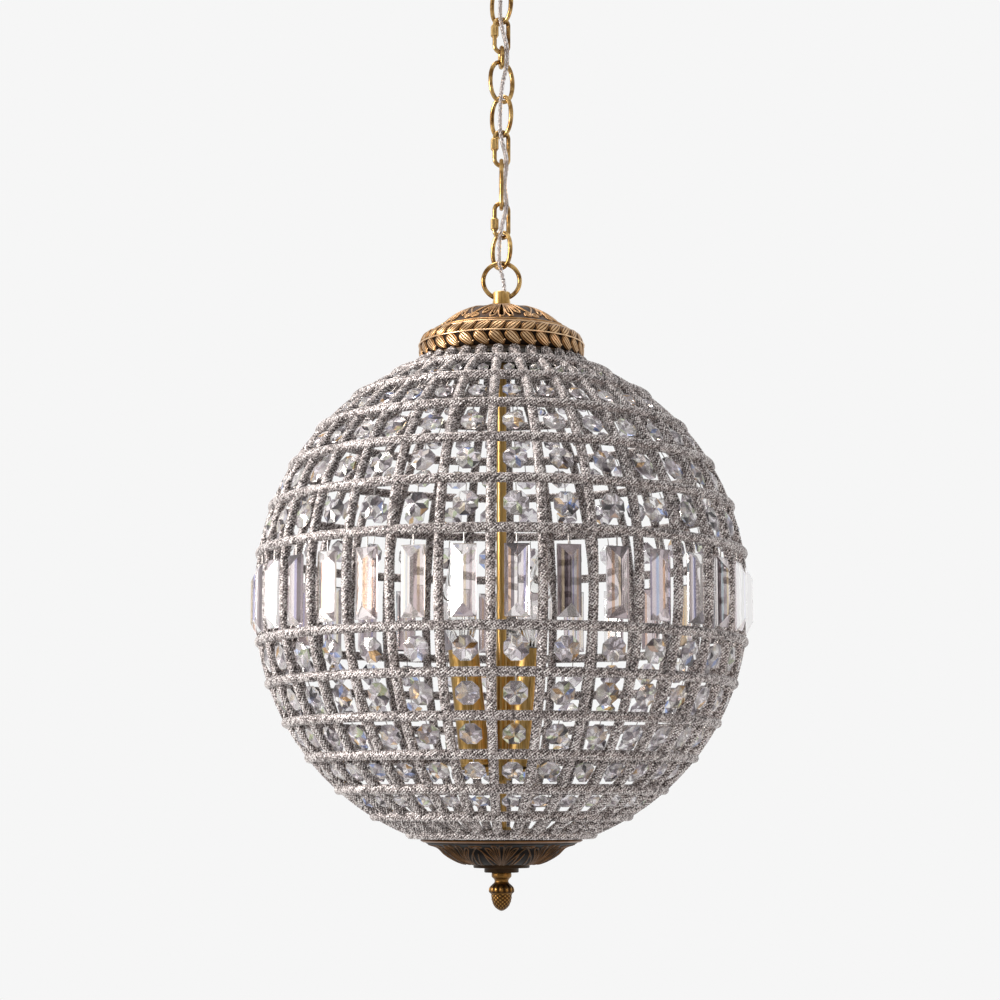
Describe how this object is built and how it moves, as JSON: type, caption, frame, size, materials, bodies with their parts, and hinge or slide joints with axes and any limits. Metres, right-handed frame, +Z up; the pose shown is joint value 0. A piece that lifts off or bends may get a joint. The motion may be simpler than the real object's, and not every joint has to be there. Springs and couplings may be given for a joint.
{
  "type": "crystal chandelier",
  "caption": "Ball-shaped crystal chandelier: bead-wound ribs and rings with cut crystals, candle lamps inside, cast crown and cup, hung on a chain from a ceiling canopy.",
  "frame": {"origin": "in the ceiling's plane, midway between the two slots of the ceiling strap, on the axis that everything hangs from", "axes": "+Z up into the ceiling; +X along the line of the two slots; -Y faces the viewer of the picture"},
  "size_m": [0.4972, 0.4972, 1.0102],
  "materials": {
    "antique_brass": "antique, waxed",
    "zinc_steel": "zinc plated",
    "terminal_plastic": "moulded",
    "clear_cord": "clear flexible sheath",
    "satin_brass": "satin",
    "cast_bronze": "cast, darkened in the recesses",
    "spider_steel": "bronze paint",
    "bead_winding": "silver-lined glass beads on wire",
    "crystal": "cut and polished",
    "pin_wire": "bright",
    "lampholder_plastic": "moulded",
    "bulb_glass": "clear",
    "bulb_cap_metal": "rolled thread"
  },
  "bodies": {
    "ceiling_mount": {"ceiling_canopy": "antique_brass", "crossbar": "zinc_steel", "threaded_nipple": "zinc_steel", "canopy_locknut": "zinc_steel", "terminal_block": "terminal_plastic", "canopy_collar": "antique_brass", "power_cord": "clear_cord"},
    "canopy_ring": {"canopy_ring": "antique_brass"},
    "oval_link_1": {"oval_link_1": "antique_brass"},
    "quick_link_2": {"quick_link_2": "antique_brass"},
    "short_link_3": {"short_link_3": "antique_brass"},
    "oval_link_4": {"oval_link_4": "antique_brass"},
    "oval_link_5": {"oval_link_5": "antique_brass"},
    "quick_link_6": {"quick_link_6": "antique_brass"},
    "long_link_7": {"long_link_7": "antique_brass"},
    "quick_link_8": {"quick_link_8": "antique_brass"},
    "oval_link_9": {"oval_link_9": "antique_brass"},
    "hanging_ring": {"hanging_ring": "antique_brass"},
    "quick_link_sleeve_2": {"quick_link_sleeve_2": "antique_brass"},
    "quick_link_sleeve_6": {"quick_link_sleeve_6": "antique_brass"},
    "quick_link_sleeve_8": {"quick_link_sleeve_8": "antique_brass"},
    "globe": {"stem_collar": "antique_brass", "stem_tube": "satin_brass", "stem_nuts": "satin_brass", "crown_dome": "cast_bronze", "laurel_band": "cast_bronze", "upper_spider": "spider_steel", "lower_spider": "spider_steel", "frame_ribs": "bead_winding", "upper_rings": "bead_winding", "lower_rings": "bead_winding", "belt_prisms": "crystal", "prism_pins": "pin_wire", "lamp_cluster": "satin_brass", "upper_octagons_1": "crystal", "upper_octagons_2": "crystal", "upper_octagons_3": "crystal", "upper_octagons_4": "crystal", "upper_octagons_5": "crystal", "lower_octagons_1": "crystal", "lower_octagons_2": "crystal", "lower_octagons_3": "crystal", "lower_octagons_4": "crystal", "lower_octagons_5": "crystal", "upper_octagon_wires": "pin_wire", "lower_octagon_wires": "pin_wire", "candle_cover_1": "satin_brass", "lampholder_1": "lampholder_plastic", "candle_cover_2": "satin_brass", "lampholder_2": "lampholder_plastic", "candle_cover_3": "satin_brass", "lampholder_3": "lampholder_plastic"},
    "bottom_cup": {"bottom_cup": "cast_bronze"},
    "finial": {"finial": "cast_bronze"},
    "bulb_1": {"bulb_1": "bulb_glass", "bulb_cap_1": "bulb_cap_metal"},
    "bulb_2": {"bulb_2": "bulb_glass", "bulb_cap_2": "bulb_cap_metal"},
    "bulb_3": {"bulb_3": "bulb_glass", "bulb_cap_3": "bulb_cap_metal"}
  },
  "joints": [
    {"name": "canopy_ring_swing", "type": "hinge", "parent": "ceiling_mount", "child": "canopy_ring", "pos_m": [0, 0, -0.0339], "axis": [0.7071, 0.7071, 0], "range_deg": [-15, 15], "deforming": ["power_cord"]},
    {"name": "oval_link_1_swing", "type": "hinge", "parent": "canopy_ring", "child": "oval_link_1", "pos_m": [0, 0, -0.0709], "axis": [0.7071, 0.7071, 0], "range_deg": [-15, 15]},
    {"name": "quick_link_2_swing", "type": "hinge", "parent": "oval_link_1", "child": "quick_link_2", "pos_m": [0, 0, -0.10785], "axis": [-0.2588, 0.9659, 0], "range_deg": [-15, 15]},
    {"name": "short_link_3_swing", "type": "hinge", "parent": "quick_link_2", "child": "short_link_3", "pos_m": [0, 0, -0.13885], "axis": [-0.9848, -0.1736, 0], "range_deg": [-15, 15]},
    {"name": "oval_link_4_swing", "type": "hinge", "parent": "short_link_3", "child": "oval_link_4", "pos_m": [0, 0, -0.15435], "axis": [-0.5736, 0.8192, 0], "range_deg": [-15, 15]},
    {"name": "oval_link_5_swing", "type": "hinge", "parent": "oval_link_4", "child": "oval_link_5", "pos_m": [0, 0, -0.19135], "axis": [0.7071, 0.7071, 0], "range_deg": [-15, 15]},
    {"name": "quick_link_6_swing", "type": "hinge", "parent": "oval_link_5", "child": "quick_link_6", "pos_m": [0, 0, -0.22835], "axis": [-0.2588, 0.9659, 0], "range_deg": [-15, 15]},
    {"name": "long_link_7_swing", "type": "hinge", "parent": "quick_link_6", "child": "long_link_7", "pos_m": [0, 0, -0.25935], "axis": [-1, 0, 0], "range_deg": [-15, 15]},
    {"name": "quick_link_8_swing", "type": "hinge", "parent": "long_link_7", "child": "quick_link_8", "pos_m": [0, 0, -0.30385], "axis": [-0.2588, 0.9659, 0], "range_deg": [-15, 15]},
    {"name": "oval_link_9_swing", "type": "hinge", "parent": "quick_link_8", "child": "oval_link_9", "pos_m": [0, 0, -0.33485], "axis": [0.766, 0.6428, 0], "range_deg": [-15, 15]},
    {"name": "hanging_ring_swing", "type": "hinge", "parent": "oval_link_9", "child": "hanging_ring", "pos_m": [0, 0, -0.36635], "axis": [0, 1, 0], "range_deg": [-15, 15]},
    {"name": "globe_swing", "type": "hinge", "parent": "hanging_ring", "child": "globe", "pos_m": [0, 0, -0.3983], "axis": [1, 0, 0], "range_deg": [-15, 15]},
    {"name": "quick_link_sleeve_2_slide", "type": "slide", "parent": "quick_link_2", "child": "quick_link_sleeve_2", "axis": [0, 0, -1], "range_m": [0, 0.008]},
    {"name": "quick_link_sleeve_6_slide", "type": "slide", "parent": "quick_link_6", "child": "quick_link_sleeve_6", "axis": [0, 0, -1], "range_m": [0, 0.008]},
    {"name": "quick_link_sleeve_8_slide", "type": "slide", "parent": "quick_link_8", "child": "quick_link_sleeve_8", "axis": [0, 0, 1], "range_m": [0, 0.008]},
    {"name": "cup_lowering", "type": "slide", "parent": "globe", "child": "bottom_cup", "axis": [0, 0, -1], "range_m": [0, 0.009]},
    {"name": "finial_unscrewing", "type": "hinge", "parent": "bottom_cup", "child": "finial", "pos_m": [0, 0, -0.98], "axis": [0, 0, 1], "range_deg": [0, 3276]},
    {"name": "bulb_1_unscrewing", "type": "hinge", "parent": "globe", "child": "bulb_1", "pos_m": [-0.02568, -0.00834, -0.8669], "axis": [-0.1093, -0.0355, 0.9934], "range_deg": [0, 1080]},
    {"name": "bulb_2_unscrewing", "type": "hinge", "parent": "globe", "child": "bulb_2", "pos_m": [0.02006, -0.01807, -0.8669], "axis": [0.0854, -0.0769, 0.9934], "range_deg": [0, 1080]},
    {"name": "bulb_3_unscrewing", "type": "hinge", "parent": "globe", "child": "bulb_3", "pos_m": [0.00561, 0.02641, -0.8669], "axis": [0.0239, 0.1124, 0.9934], "range_deg": [0, 1080]}
  ],
  "couplings": [
    {"joint": "finial_unscrewing", "follows": "cup_lowering", "rad_per_m": 6283.2}
  ]
}
